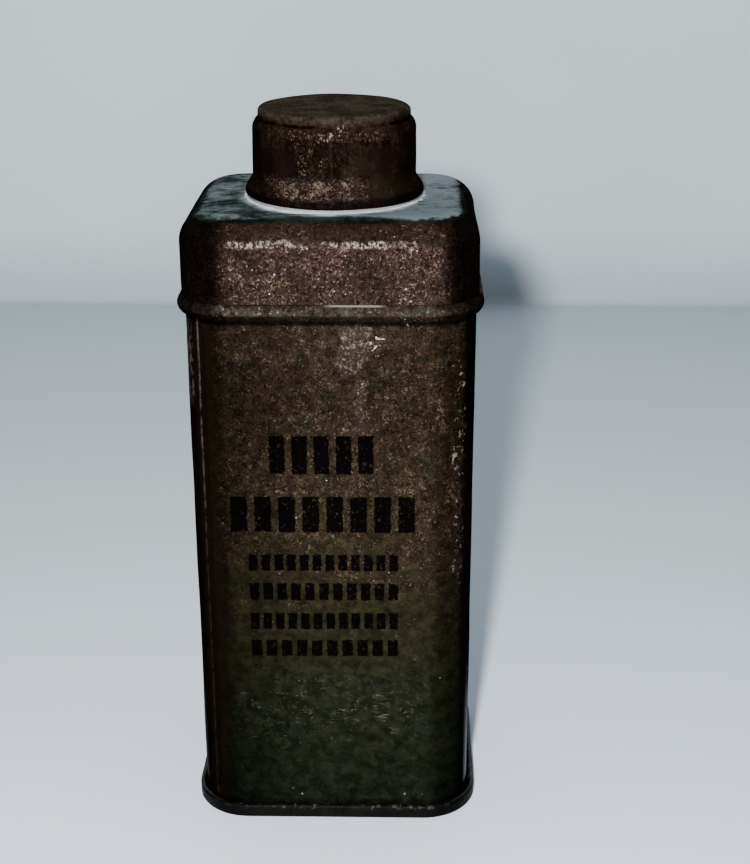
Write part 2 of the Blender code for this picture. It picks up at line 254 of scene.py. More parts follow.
class Graph:
    """A material's nodes. Its coordinates are the object's own, in millimetres."""

    def __init__(self, name):
        self.material = bpy.data.materials.new(name)
        self.material.use_nodes = True
        self.nodes = self.material.node_tree.nodes
        self.links = self.material.node_tree.links
        self.shader = self.nodes["Principled BSDF"]
        scaled = self.new("VectorMath", "SCALE")
        self.set(scaled, Scale=1 / MM)
        coordinates = self.new("TexCoord")
        self.links.new(coordinates.outputs["Object"], scaled.inputs[0])
        self.place = scaled.outputs[0]
        split = self.new("SeparateXYZ")
        self.links.new(self.place, split.inputs[0])
        self.x, self.y, self.z = split.outputs
        self.warped = None

    def new(self, kind, operation=None):
        node = self.nodes.new("ShaderNode" + kind)
        if operation:
            node.operation = operation
        return node

    def set(self, node, **values):
        for name, value in values.items():
            node.inputs[name].default_value = value

    def plug(self, socket, value):
        if isinstance(value, bpy.types.NodeSocket):
            self.links.new(value, socket)
        elif socket.type == "RGBA":
            socket.default_value = (*value, 1.0)
        else:
            socket.default_value = value

    def maths(self, operation, a, b=0.0):
        node = self.new("Math", operation)
        self.plug(node.inputs[0], a)
        self.plug(node.inputs[1], b)
        return node.outputs[0]

    def all_by(self, operation, first, *others):
        for other in others:
            first = self.maths(operation, first, other)
        return first

    def add(self, *values):
        return self.all_by("ADD", *values)

    def times(self, *values):
        return self.all_by("MULTIPLY", *values)

    def most(self, *values):
        return self.all_by("MAXIMUM", *values)

    def size(self, a):
        return self.maths("ABSOLUTE", a)

    def ramp(self, value, low, high, to_low=0.0, to_high=1.0, easing="SMOOTHSTEP"):
        """The value eased from low to high. High may be the smaller."""
        node = self.new("MapRange")
        node.interpolation_type = easing
        ends = (low, high, to_low, to_high) if low < high else (high, low, to_high, to_low)
        self.plug(node.inputs["Value"], value)
        for socket, end in zip(("From Min", "From Max", "To Min", "To Max"), ends):
            node.inputs[socket].default_value = end
        return node.outputs["Result"]

    def near(self, value, middle, none, full, to_low=0.0, to_high=1.0):
        """Eased from to_low, where the value is none from the middle, to to_high at full."""
        return self.ramp(self.size(self.add(value, -middle)), none, full, to_low, to_high)

    def sway(self, value, span):
        """The value, from 0 to 1, as a swing of this whole span about 0."""
        return self.times(self.add(value, -0.5), span)

    def patches(self, low, high, *where, **how):
        """Noise, eased from 0 at low to 1 at high."""
        return self.ramp(self.noise(*where, **how), low, high)

    def mix(self, factor, a, b):
        node = self.new("Mix")
        node.data_type = "RGBA"
        self.plug(node.inputs["Factor"], factor)
        self.plug(node.inputs[6], a)
        self.plug(node.inputs[7], b)
        return node.outputs[2]

    def over(self, colour, mask, strength, tone):
        """The tone over the colour, at this strength where the mask is 1."""
        return self.mix(self.times(mask, strength), colour, tone)

    def between(self, factor, a, b):
        """A number from a to b."""
        node = self.new("Mix")
        self.plug(node.inputs["Factor"], factor)
        self.plug(node.inputs[2], a)
        self.plug(node.inputs[3], b)
        return node.outputs[0]

    def tint(self, colour, factor):
        """The colour times the factor."""
        node = self.new("VectorMath", "SCALE")
        self.plug(node.inputs[0], colour)
        self.plug(node.inputs["Scale"], factor)
        return node.outputs[0]

    def shade(self, colour, mask, least):
        """The colour, down to its least share where the mask is 1."""
        return self.tint(colour, self.ramp(mask, 0.0, 1.0, 1.0, least))

    def bands(self, value, *stops):
        """A colour that runs through the stops: (value, colour), lowest first."""
        low, high = stops[0][0], stops[-1][0]
        spread = self.ramp(value, low, high, easing="LINEAR")
        node = self.new("ValToRGB")
        elements = node.color_ramp.elements
        elements[0].color = (*stops[0][1], 1.0)
        elements[1].color = (*stops[-1][1], 1.0)
        for where, colour in stops[1:-1]:
            made = elements.new((where - low) / (high - low))
            made.color = (*colour, 1.0)
        self.links.new(spread, node.inputs[0])
        return node.outputs["Color"]

    def stretched(self, stretch, shift=0.0):
        node = self.new("VectorMath", "MULTIPLY_ADD")
        self.links.new(self.place, node.inputs[0])
        node.inputs[1].default_value = stretch
        node.inputs[2].default_value = (shift, 2.7 * shift, -1.9 * shift)
        return node.outputs[0]

    def noise(self, scale, detail=3.0, rough=0.6, stretch=(1, 1, 1), shift=0.0, warp=0.0):
        node = self.new("TexNoise")
        self.links.new(self.stretched(stretch, shift), node.inputs["Vector"])
        self.set(node, Scale=scale, Detail=detail, Roughness=rough, Distortion=warp)
        return node.outputs["Fac"]

    def flecks(self, scale, share, radius, shift=0.0):
        """A mask of small round flecks, in about this share of a cell pattern's cells."""
        node = self.new("TexVoronoi")
        self.links.new(self.stretched((1, 1, 1), shift), node.inputs["Vector"])
        self.set(node, Scale=scale)
        split = self.new("SeparateColor")
        self.links.new(node.outputs["Color"], split.inputs[0])
        chosen = self.maths("LESS_THAN", split.outputs[0], share)
        return self.times(chosen, self.ramp(node.outputs["Distance"], radius, radius * 0.55))

    def blob(self, middle, size, soft=0.6):
        """A soft, ragged spot in x and z."""
        if self.warped is None:
            off_x = self.sway(self.noise(0.3, 4.0, 0.65, shift=71.0), 9.0)
            off_z = self.sway(self.noise(0.3, 4.0, 0.65, shift=83.0), 9.0)
            self.warped = (self.add(self.x, off_x), self.add(self.z, off_z))
        total = 0.0
        for axis, at, half in zip(self.warped, middle, size):
            off = self.times(self.add(axis, -at), 1.0 / half)
            total = self.add(self.times(off, off), total)
        return self.ramp(total, 1.0 + soft, 1.0 - soft)

    def speckle(self, colour, amount, tone, painted_glints, scale=2.3):
        """Lifted flecks in this tone, as thick as the amount (0 to 1), with bright dots of painted
        glint.
        """
        fine = self.noise(scale, 3.0, 0.78, shift=5.0, warp=0.4)
        clumps = self.noise(0.6, 3.0, 0.65, shift=15.0)
        level = self.add(fine, self.times(clumps, 0.3), -0.65)
        level = self.add(level, self.times(amount, 0.09))
        mask = self.times(self.ramp(level, 0.08, 0.22), self.ramp(amount, 0.0, 0.3))
        # Bright dots of painted glint, where the amount is thick
        painted_glint_dots = self.times(self.flecks(1.25, painted_glints, 0.2, shift=27.0), self.ramp(amount, 0.3, 1.0))
        tone = self.tint(tone, self.ramp(self.noise(1.1, 2.0, shift=16.0), 0.38, 0.62, 0.45, 1.35))
        colour = self.over(colour, mask, 0.9, tone)
        return self.mix(painted_glint_dots, colour, (0.4, 0.34, 0.3)), self.most(mask, painted_glint_dots)

    def corner_shade(self, start, end, least, middle=0.0):
        """Painted shade: 1 on the flats, falling to least round each front corner towards the
        sides.
        """
        turned = self.near(self.x, middle, start, end)
        away = self.times(turned, self.ramp(self.y, -9.0, -12.5))
        return self.ramp(away, 0.0, 1.0, 1.0, least)

    def bumps(self, strength, distance, height):
        node = self.new("Bump")
        self.set(node, Strength=strength, Distance=distance * MM)
        self.links.new(height, node.inputs["Height"])
        self.links.new(node.outputs["Normal"], self.shader.inputs["Normal"])

    def finish(self, colour, roughness, metallic=0.0, specular=0.5):
        self.plug(self.shader.inputs["Base Color"], colour)
        self.plug(self.shader.inputs["Roughness"], roughness)
        self.plug(self.shader.inputs["Metallic"], metallic)
        self.shader.inputs["Specular IOR Level"].default_value = specular
        return self.material


def printed_blocks(g):
    """Where the front has rows of plain printed blocks: (left, right, foot, top, how many)."""
    rows = (
        (-9.4, 6.7, 61.9, 68.2, 5),
        (-15.7, 13.1, 52.1, 58.1, 8),
        (-13.1, 10.5, 45.4, 48.2, 12),
        (-13.1, 10.5, 40.2, 43.2, 11),
        (-13.1, 10.5, 35.0, 37.9, 12),
        (-13.1, 10.5, 30.1, 33.0, 10),
    )
    edge = g.sway(g.noise(1.6, 2.0, shift=31.0), 0.5)
    x, z = g.add(g.x, edge), g.add(g.z, edge)
    total = 0.0
    for left, right, foot, top, count in rows:
        middle, half = (foot + top) / 2, (top - foot) / 2
        in_row = g.near(z, middle, half + 0.08, half - 0.08)
        pitch = (right - left) / (count - 0.3)
        turn = g.maths("FRACT", g.times(g.add(x, -left), 1 / pitch))
        block = g.near(turn, 0.35, 0.35 + 0.08 / pitch, 0.35 - 0.08 / pitch)
        half_row = (right - left) / 2
        wide = g.near(x, (left + right) / 2, half_row + 0.1, half_row - 0.1)
        total = g.most(total, g.times(in_row, block, wide))
    return g.times(total, g.ramp(g.y, -17.0, -18.0))


def olive_paint(g, grain, mottle):
    """(colour, how rusty from 0 to 1) of the paint without its marks."""
    broad = g.noise(0.07, 3.0, 0.6, shift=4.0)
    level = g.add(g.z, g.sway(broad, 30.0))
    paint = g.bands(
        level,
        (0.0, (0.0033, 0.0056, 0.0032)),
        (14.0, (0.0045, 0.0069, 0.0037)),
        (26.0, (0.0086, 0.0092, 0.0044)),
        (46.0, (0.0105, 0.0093, 0.0042)),
        (66.0, (0.0114, 0.0086, 0.0046)),
        (88.0, (0.0129, 0.0096, 0.0059)),
    )
    blue = g.times(g.patches(0.5, 0.62, 0.16, 3.0, 0.6, shift=24.0), g.ramp(g.z, 36.0, 20.0))
    paint = g.over(paint, blue, 0.45, (0.0048, 0.0066, 0.0054))
    green = g.times(g.patches(0.5, 0.6, 0.22, 3.0, 0.6, shift=64.0), g.ramp(g.z, 30.0, 50.0))
    paint = g.over(paint, green, 0.8, (0.0072, 0.0098, 0.0044))
    paint = g.tint(paint, g.ramp(mottle, 0.28, 0.72, 0.62, 1.4))
    rusty = g.ramp(g.add(g.times(g.noise(0.16, 4.0, 0.6, shift=2.0), 50.0), g.z), 44.0, 92.0)
    rust_tone = g.bands(
        g.noise(0.7, 4.0, 0.7, shift=14.0),
        (0.3, (0.0037, 0.002, 0.0014)),
        (0.46, (0.0124, 0.0077, 0.0043)),
        (0.58, (0.0223, 0.0139, 0.0081)),
        (0.72, (0.0347, 0.0223, 0.0155)),
    )
    red = g.patches(0.46, 0.58, 0.18, 4.0, 0.7, shift=74.0)
    rust_tone = g.over(rust_tone, red, 0.65, (0.021, 0.01, 0.0074))
    rust_mask = g.times(g.ramp(grain, 0.44, 0.55), g.ramp(rusty, 0.0, 1.0, 0.12, 0.95))
    colour = g.mix(rust_mask, paint, rust_tone)
    pits = g.times(g.patches(0.5, 0.38, 2.3, 4.0, 0.75, shift=40.0), rusty)
    colour = g.over(colour, pits, 0.8, (0.0022, 0.0016, 0.0012))
    patchy = g.noise(0.5, 4.0, 0.72, shift=58.0)
    return g.tint(colour, g.ramp(patchy, 0.38, 0.62, 0.7, 1.3)), rusty


def front_marks(g, colour, rusty, grain, mottle, front):
    """(colour, where flecks are lifted) with pale flecks, orange rust and chips added."""
    # Paler flecks: scattered, and thick where the front is rubbed bare
    rubbed = g.most(g.blob((3.9, 81.8), (2.9, 4.0)), g.blob((4.3, 74.5), (1.2, 5.0)))
    rubbed = g.most(rubbed, g.times(g.blob((3.5, 69.5), (4.5, 1.4)), 0.7))
    rubbed = g.times(rubbed, front)
    streaked = g.times(g.blob((10.8, 45.0), (2.0, 7.0)), front)
    scattered = g.ramp(g.noise(0.3, 3.0, 0.6, shift=57.0), 0.42, 0.62, 0.25, 0.85)
    amount = g.times(scattered, g.ramp(rusty, 0.0, 1.0, 0.05, 1.0))
    amount = g.most(amount, g.most(rubbed, g.times(streaked, 0.6)))
    tone = g.mix(rubbed, (0.062, 0.044, 0.027), (0.115, 0.08, 0.06))
    colour = g.over(colour, rubbed, 0.35, (0.029, 0.02, 0.015))
    colour, lifted = g.speckle(colour, amount, tone, 0.02, 3.2)
    # Orange rust up the right of the front
    bloom = g.times(g.blob((17.0, 77.0), (3.2, 7.0)), 0.6)
    bloom = g.most(g.blob((19.0, 57.0), (1.4, 13.0)), bloom)
    lumps = g.most(g.blob((18.4, 58.4), (1.0, 2.2)), g.blob((18.2, 52.0), (0.9, 1.6)))
    lumps = g.times(g.most(lumps, g.blob((16.9, 72.4), (1.0, 3.0))), front)
    bloom = g.times(bloom, front, g.patches(0.52, 0.6, 1.9, 4.0, 0.78, shift=31.0))
    colour = g.over(colour, bloom, 0.65, (0.05, 0.025, 0.0095))
    lumps = g.times(lumps, g.patches(0.48, 0.55, 1.5, 4.0, 0.78, shift=34.0))
    lump_tone = g.mix(g.ramp(grain, 0.44, 0.56), (0.07, 0.034, 0.017), (0.12, 0.098, 0.066))
    colour = g.over(colour, lumps, 0.65, lump_tone)
    # Chips down to the tin coat
    chips = g.times(g.flecks(0.7, 0.12, 0.16, shift=7.0), g.ramp(mottle, 0.44, 0.54, 0.0, 0.35))
    few = g.blob((7.4, 82.0), (0.7, 2.0), soft=0.4)
    chips = g.most(chips, g.times(g.patches(0.54, 0.58, 1.2, 3.0, shift=8.0), few))
    chips = g.most(chips, g.blob((10.9, 85.9), (0.32, 0.36), soft=0.4))
    chips = g.times(chips, front)
    return g.mix(chips, colour, (0.3, 0.28, 0.24)), lifted


def front_scratches(g, colour, front):
    """The colour, with scratches and scuffs across the lower front."""
    band = g.times(g.near(g.z, 20.5, 10.0, 1.0), g.ramp(g.size(g.x), 19.0, 12.0))
    level_ones = g.noise(0.55, 2.0, 0.5, stretch=(0.2, 0.2, 1.3), shift=5.0, warp=1.4)
    slanting = g.noise(0.5, 3.0, 0.5, stretch=(0.9, 0.9, 0.5), shift=45.0, warp=0.8)
    scratch = g.most(
        g.near(level_ones, 0.5, 0.018, 0.004),
        g.times(g.near(slanting, 0.52, 0.01, 0.002), 0.6),
    )
    broken = g.noise(0.6, 4.0, 0.7, shift=6.0)
    scratch = g.times(scratch, g.ramp(g.add(broken, g.times(band, 0.07)), 0.58, 0.66))
    scratch = g.times(scratch, band, front)
    colour = g.over(colour, scratch, 0.7, (0.066, 0.062, 0.04))
    scuffs = g.times(g.patches(0.6, 0.66, 1.1, 4.0, 0.75, shift=46.0), front)
    scuffs = g.times(scuffs, g.ramp(band, 0.0, 1.0, 0.2, 0.7))
    return g.mix(scuffs, colour, (0.032, 0.033, 0.024))


def corner_shade_and_wear(g, colour):
    """The colour, with painted shade round the front corners, painted highlights, bare specks and
    a bared lap.
    """
    # Painted shade: the front corners go nearly black where they turn away
    ragged = g.add(g.size(g.x), g.sway(g.noise(0.5, 4.0, 0.7, shift=12.0), 2.4))
    dark = g.times(g.ramp(ragged, 19.9, 21.0), g.ramp(g.y, -9.0, -12.5))
    edge_shade_tone = g.mix(g.ramp(g.z, 22.0, 46.0), (0.0019, 0.0033, 0.0027), (0.0016, 0.0018, 0.0013))
    colour = g.over(colour, dark, 0.9, edge_shade_tone)
    # More painted shade round the front corners
    colour = g.tint(colour, g.corner_shade(13.4, 19.2, 0.42))
    colour = g.tint(colour, g.ramp(g.x, -17.0, -1.0, 0.52, 1.0))
    colour = g.tint(colour, g.near(g.z, 73.0, 4.0, 11.0, 0.8, 1.0))
    # Painted shade round the left front corner and into the joggle, in dark rust brown, mottled
    left = g.times(g.ramp(g.x, -16.0, -18.8), g.ramp(g.y, -10.0, -14.0))
    stained = g.noise(0.5, 4.0, 0.7, stretch=(1, 1, 0.4), shift=55.0)
    left = g.times(left, g.ramp(stained, 0.38, 0.6, 0.95, 0.55))
    colour = g.mix(left, colour, (0.0038, 0.0023, 0.0014))
    # Painted shade on the outermost left strip
    colour = g.tint(colour, g.ramp(g.x, -20.2, -20.8, 1.0, 0.6))
    # Scraped metal with a painted highlight, high up the far left edge
    scrape_and_highlight = g.times(g.ramp(g.x, -20.6, -21.1), g.near(g.z, 79.0, 8.0, 4.0))
    fine_marks = g.noise(1.5, 4.0, 0.78, stretch=(1, 1, 0.5), shift=56.0)
    scrape_and_highlight = g.times(scrape_and_highlight, g.ramp(fine_marks, 0.47, 0.56), g.ramp(g.y, -12.0, -14.0))
    colour = g.over(colour, scrape_and_highlight, 0.75, (0.048, 0.034, 0.034))
    specks = g.patches(0.56, 0.61, 1.2, 3.0, 0.7, shift=52.0)
    specks = g.most(g.flecks(1.6, 0.35, 0.24, shift=51.0), specks)
    specks = g.times(specks, g.patches(0.44, 0.54, 0.35, 2.0))
    wander = g.sway(g.noise(0.12, 2.0, shift=53.0), 5.0)
    along = g.near(g.add(g.x, wander), 19.9, 1.2, 0.5)
    along = g.times(along, g.ramp(g.y, -8.0, -11.0))
    specks = g.times(specks, along, g.near(g.z, 62.0, 22.0, 13.0))
    pale = g.patches(0.45, 0.6, 1.1, 2.0, shift=54.0)
    pale = g.mix(pale, (0.05, 0.044, 0.034), (0.14, 0.125, 0.1))
    colour = g.over(colour, specks, 0.9, pale)
    # Bare metal along the edge of the lap, with a painted highlight
    off_x, off_y = g.add(g.x, 19.72), g.add(g.y, 17.0)
    far = g.maths("SQRT", g.add(g.times(off_x, off_x), g.times(off_y, off_y)))
    lap = g.times(g.ramp(far, 0.34, 0.12), g.patches(0.4, 0.58, 0.7, 4.0, 0.7, shift=33.0))
    lap_tone = g.mix(g.ramp(g.z, 40.0, 74.0), (0.013, 0.008, 0.005), (0.055, 0.038, 0.03))
    return g.over(colour, lap, 0.9, lap_tone)


def bead_wear_and_shade(g, colour, front):
    """The colour, with the bead rubbed and given painted highlights along its top, and painted
    shade on its lower half, under it and along the foot.
    """
    # Rubbed paint and a painted highlight along the bead's top
    on_bead = g.near(g.z, 88.25, 0.95, 0.45)
    rub_and_highlight = g.times(on_bead, g.patches(0.4, 0.58, 0.8, 4.0, 0.78, shift=61.0))
    rub_and_highlight = g.times(rub_and_highlight, g.corner_shade(15.0, 20.0, 0.1))
    # Painted shade on the bead's lower half
    colour = g.tint(colour, g.near(g.z, 87.0, 0.8, 0.3, 1.0, 0.45))
    rub_and_highlight = g.times(rub_and_highlight, g.ramp(g.noise(0.3, 3.0, 0.6, shift=63.0), 0.4, 0.6, 0.5, 1.0))
    colour = g.over(colour, rub_and_highlight, 0.85, (0.032, 0.029, 0.023))
    rub_spots = g.times(on_bead, g.patches(0.57, 0.66, 2.0, 3.0, 0.78, shift=62.0), rub_and_highlight)
    colour = g.mix(rub_spots, colour, (0.14, 0.13, 0.11))
    # A thin painted highlight along the top of the bead
    bead_highlight_line = g.times(g.near(g.z, 88.95, 0.22, 0.08), g.near(g.x, 4.0, 5.0, 3.0), front)
    colour = g.over(colour, bead_highlight_line, 0.8, (0.22, 0.21, 0.19))
    # Painted shade in the crease under the bead, and along the foot above the base seam
    colour = g.shade(colour, g.near(g.z, 86.1, 0.7, 0.1), 0.22)
    return g.shade(colour, g.ramp(g.z, 3.2, 2.7), 0.65)


def body_paint():
    """Olive paint: sound and dark green low down, worn to speckled rust higher up."""
    g = Graph("worn_olive_paint")
    front = g.ramp(g.y, -15.0, -18.0)
    grain = g.noise(1.8, 3.0, 0.75, shift=21.0)
    mottle = g.noise(0.55, 5.0, 0.7, shift=9.0)
    colour, rusty = olive_paint(g, grain, mottle)
    colour, lifted = front_marks(g, colour, rusty, grain, mottle, front)
    colour = front_scratches(g, colour, front)
    # Rows of plain printed blocks, worn away in spots
    worn = g.patches(0.59, 0.65, 1.5, 4.0, 0.7, shift=17.0)
    ink = g.times(printed_blocks(g), g.ramp(worn, 0.0, 1.0, 0.98, 0.2))
    colour = g.mix(ink, colour, (0.001, 0.0008, 0.0008))
    colour = bead_wear_and_shade(g, corner_shade_and_wear(g, colour), front)
    lift = g.add(g.times(grain, rusty), g.times(g.noise(0.9, 4.0, 0.7, shift=22.0), 0.4))
    lift = g.add(lift, g.times(ink, 0.2), g.times(lifted, 0.15))
    g.bumps(0.5, 0.15, lift)
    rough = g.add(g.times(rusty, 0.22), g.ramp(mottle, 0.3, 0.7, 0.28, 0.4))
    # Only the corners of the sound, lower paint still shine
    turned_away = g.ramp(g.size(g.x), 21.3, 22.0)
    gloss = g.times(turned_away, g.ramp(g.size(g.y), 11.0, 13.5))
    gloss = g.times(gloss, g.ramp(g.add(g.z, g.times(mottle, 16.0)), 36.0, 18.0))
    gloss = g.times(gloss, g.ramp(g.x, -10.0, 10.0, 0.08, 0.34))
    g.plug(g.shader.inputs["Coat Weight"], gloss)
    g.shader.inputs["Coat Roughness"].default_value = 0.16
    return g.finish(colour, rough, 0.0, 0.0)


def dark_rust(g):
    """(colour, grain) of paint rusted nearly through."""
    grain = g.noise(1.8, 3.0, 0.75, shift=11.0)
    tone = g.bands(
        g.noise(0.45, 5.0, 0.7, shift=6.0),
        (0.3, (0.0062, 0.003, 0.0024)),
        (0.46, (0.014, 0.0075, 0.0056)),
        (0.6, (0.024, 0.014, 0.011)),
        (0.75, (0.035, 0.022, 0.017)),
    )
    return g.mix(g.ramp(grain, 0.36, 0.6), (0.0058, 0.003, 0.0024), tone), grain


def rusted_cap():
    """Dark, streaked walls, with flecks at the flare, up the front and along the step, painted
    shade towards the sides and back, and painted glints at the step.
    """
    g = Graph("rusted_cap")
    g.z = g.add(g.z, -CAP_RISE)
    colour, grain = dark_rust(g)
    broad = g.noise(0.16, 4.0, 0.6, shift=3.0)
    front = g.ramp(g.y, 0.0, -8.0, 0.2, 1.0)
    top = g.ramp(g.add(g.z, g.sway(broad, 1.6)), 113.5, 114.8)
    # The walls, streaked up and down
    wall = g.times(g.ramp(g.z, 105.2, 106.4), g.ramp(g.z, 112.4, 111.4))
    streaks = g.noise(0.5, 3.0, 0.6, stretch=(1, 1, 0.1), shift=19.0)
    colour = g.tint(colour, g.between(wall, 0.9, g.ramp(streaks, 0.42, 0.58, 0.3, 0.95)))
    smooth = g.most(g.blob((-8.0, 108.4), (2.4, 2.8)), g.blob((8.5, 108.0), (2.0, 3.4)))
    colour = g.mix(g.times(smooth, wall, 0.7), colour, (0.0064, 0.003, 0.0028))
    olive = g.most(g.blob((5.0, 107.6), (1.8, 2.6)), g.blob((9.6, 104.2), (3.6, 1.8)))
    colour = g.mix(g.times(olive, front, 0.5), colour, (0.0105, 0.0088, 0.005))
    # The flecks
    flare = g.near(g.add(g.z, g.times(broad, 3.0)), 105.9, 2.4, 0.6)
    flare = g.times(flare, g.ramp(g.x, 8.0, 2.0), g.ramp(g.x, -11.0, -7.0))
    flare = g.times(flare, g.ramp(g.noise(0.35, 3.0, 0.6, shift=18.0), 0.4, 0.58, 0.5, 1.1))
    rubbed = g.times(g.blob((1.0, 107.0), (3.0, 4.0)), 0.4)
    rubbed = g.most(g.blob((-3.6, 109.0), (1.2, 3.6)), rubbed)
    step = g.times(g.near(g.z, 112.2, 1.2, 0.3), g.ramp(g.size(g.x), 11.0, 8.0))
    amount = g.most(g.times(flare, 1.5), g.most(g.times(rubbed, 0.48), g.times(step, 0.42)))
    amount = g.times(amount, front, g.ramp(top, 0.0, 1.0, 1.0, 0.1))
    tone = g.mix(g.ramp(g.x, -4.0, 2.0), (0.088, 0.066, 0.042), (0.068, 0.048, 0.038))
    colour, lifted = g.speckle(colour, amount, tone, 0.04, 2.9)
    mouth = g.add(g.z, g.sway(grain, 0.8))
    colour = g.tint(colour, g.ramp(mouth, 102.7, 103.4, 0.35, 1.0))
    # Painted glints along the step
    painted_glints = g.times(g.patches(0.53, 0.6, 2.2, 3.0, 0.7, shift=47.0), front)
    painted_glints = g.times(painted_glints, g.blob((0.6, 112.9), (2.6, 0.45), soft=0.3))
    colour = g.over(colour, painted_glints, 0.8, (0.18, 0.15, 0.11))
    # The top, greyer and duller, with painted shade in the crease round its foot
    patchy = g.noise(0.28, 5.0, 0.72, shift=13.0)
    grey = g.mix(g.ramp(patchy, 0.38, 0.6), (0.0122, 0.0094, 0.0068), (0.027, 0.022, 0.0165))
    grey = g.tint(grey, g.ramp(grain, 0.34, 0.62, 0.7, 1.3))
    colour = g.over(colour, top, 0.85, grey)
    crease = g.times(g.near(g.z, 113.5, 0.35, 0.1), g.ramp(broad, 0.58, 0.44))
    colour = g.shade(colour, crease, 0.25)
    # Painted shade: the walls darken towards the sides and back
    side = g.ramp(g.add(g.size(g.add(g.x, -1.0)), g.times(g.y, 0.2)), 3.0, 9.5, 1.0, 0.38)
    colour = g.tint(colour, g.between(top, side, 1.0))
    pits = g.patches(0.45, 0.38, 1.9, 3.0, 0.65, shift=44.0)
    colour = g.over(colour, pits, 0.6, (0.0034, 0.002, 0.0016))
    g.bumps(0.5, 0.14, g.add(g.times(grain, 0.6), g.times(lifted, 0.25)))
    return g.finish(colour, g.ramp(grain, 0.35, 0.65, 0.66, 0.5), 0.0, 0.0)


def settled_powder(g, edge):
    """(mask, how thick from 0 to 1) of powder on the plate, thickest against the cap."""
    radius = g.maths("SQRT", g.add(g.times(g.x, g.x), g.times(g.y, g.y)))
    ragged = g.sway(g.noise(0.45, 4.0, 0.7, shift=25.0), 3.0)
    hug = g.ramp(g.add(radius, g.add(ragged, g.times(g.size(g.x), 0.06))), 16.7, 14.3)
    # Bare along the front edge, most of all before the cap
    bare = g.add(g.y, g.ramp(g.size(g.x), 6.0, 14.0, 15.75, 16.8), g.times(ragged, 0.25))
    edge = g.times(edge, g.ramp(bare, -0.4, 0.5, 0.12, 1.0))
    front = g.ramp(g.y, 0.0, -11.0, 0.4, 1.0)
    wisps = g.noise(0.9, 4.0, 0.72, stretch=(0.4, 1, 1), shift=26.0)
    clouds = g.noise(0.22, 4.0, 0.65, shift=28.0)
    toward = g.ramp(g.add(g.x, g.times(g.y, -0.3)), -14.0, 16.0, -0.16, 0.4)
    fine = g.times(g.noise(2.4, 3.0, 0.75, stretch=(0.6, 1, 1), shift=27.0), 0.9)
    haze = g.add(g.times(wisps, 2.2), g.times(clouds, 2.4), g.add(toward, fine))
    haze = g.ramp(haze, 2.26, 3.3, 0.03, 1.0)
    mask = g.times(g.most(haze, g.times(hug, front)), edge)
    return mask, g.times(hug, front)


